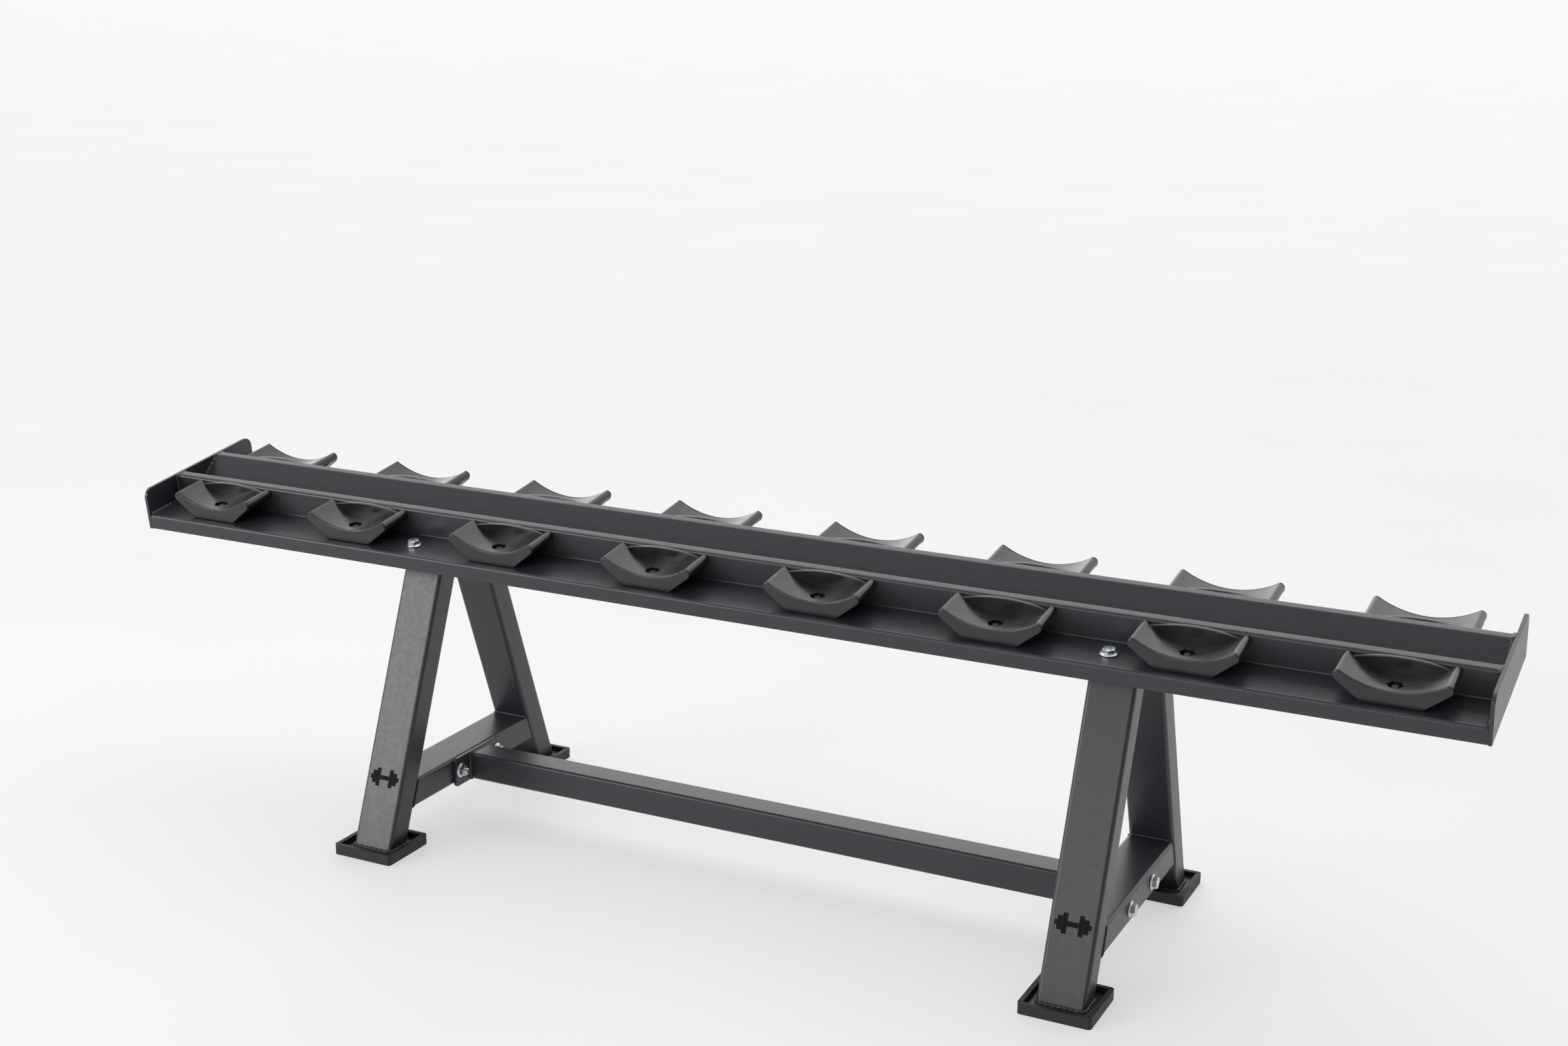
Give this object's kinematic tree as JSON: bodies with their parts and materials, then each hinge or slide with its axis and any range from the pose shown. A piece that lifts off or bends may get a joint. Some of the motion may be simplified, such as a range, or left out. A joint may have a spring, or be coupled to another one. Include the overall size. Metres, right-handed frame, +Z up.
{
  "type": "dumbbell rack",
  "caption": "Low saddle rack for heavy dumbbells: a tipped bent-steel tray with moulded saddles on two welded A-frames, joined by a bolted stretcher, on rubber feet.",
  "frame": {"origin": "on the floor, at the middle of the four rubber feet", "axes": "+X along the rack to the right as seen from the front, +Y from the low front edge to the raised back edge, +Z up"},
  "size_m": [2.4124, 0.5984, 0.6123],
  "materials": {
    "frame_steel": "fine textured powder coat, dark anthracite, satin",
    "saddle_plastic": "injection moulded, black, satin",
    "foot_rubber": "moulded, matte black",
    "zinc_fastener": "bright zinc plated"
  },
  "bodies": {
    "root": {"cross_tube_left": "frame_steel", "cross_tube_right": "frame_steel", "end_plate_left": "frame_steel", "end_plate_right": "frame_steel", "foot_plate_back_left": "frame_steel", "foot_plate_back_right": "frame_steel", "foot_plate_front_left": "frame_steel", "foot_plate_front_right": "frame_steel", "leg_back_left": "frame_steel", "leg_back_right": "frame_steel", "leg_front_left": "frame_steel", "leg_front_right": "frame_steel", "rubber_foot_back_left": "foot_rubber", "rubber_foot_back_right": "foot_rubber", "rubber_foot_front_left": "foot_rubber", "rubber_foot_front_right": "foot_rubber", "saddle_back_1": "saddle_plastic", "saddle_back_2": "saddle_plastic", "saddle_back_3": "saddle_plastic", "saddle_back_4": "saddle_plastic", "saddle_back_5": "saddle_plastic", "saddle_back_6": "saddle_plastic", "saddle_back_7": "saddle_plastic", "saddle_back_8": "saddle_plastic", "saddle_front_1": "saddle_plastic", "saddle_front_2": "saddle_plastic", "saddle_front_3": "saddle_plastic", "saddle_front_4": "saddle_plastic", "saddle_front_5": "saddle_plastic", "saddle_front_6": "saddle_plastic", "saddle_front_7": "saddle_plastic", "saddle_front_8": "saddle_plastic", "stretcher_bolt_back_left": "zinc_fastener", "stretcher_bolt_back_right": "zinc_fastener", "stretcher_bolt_front_left": "zinc_fastener", "stretcher_bolt_front_right": "zinc_fastener", "stretcher_flange_left": "frame_steel", "stretcher_flange_right": "frame_steel", "stretcher_nut_back_left": "zinc_fastener", "stretcher_nut_back_right": "zinc_fastener", "stretcher_nut_front_left": "zinc_fastener", "stretcher_nut_front_right": "zinc_fastener", "stretcher_tube": "frame_steel", "tray_bolt_back_left": "zinc_fastener", "tray_bolt_back_right": "zinc_fastener", "tray_bolt_front_left": "zinc_fastener", "tray_bolt_front_right": "zinc_fastener", "tray_mount_plate_left": "frame_steel", "tray_mount_plate_right": "frame_steel", "tray_nut_back_left": "zinc_fastener", "tray_nut_back_right": "zinc_fastener", "tray_nut_front_left": "zinc_fastener", "tray_nut_front_right": "zinc_fastener", "tray_sheet": "frame_steel"}
  },
  "joints": []
}
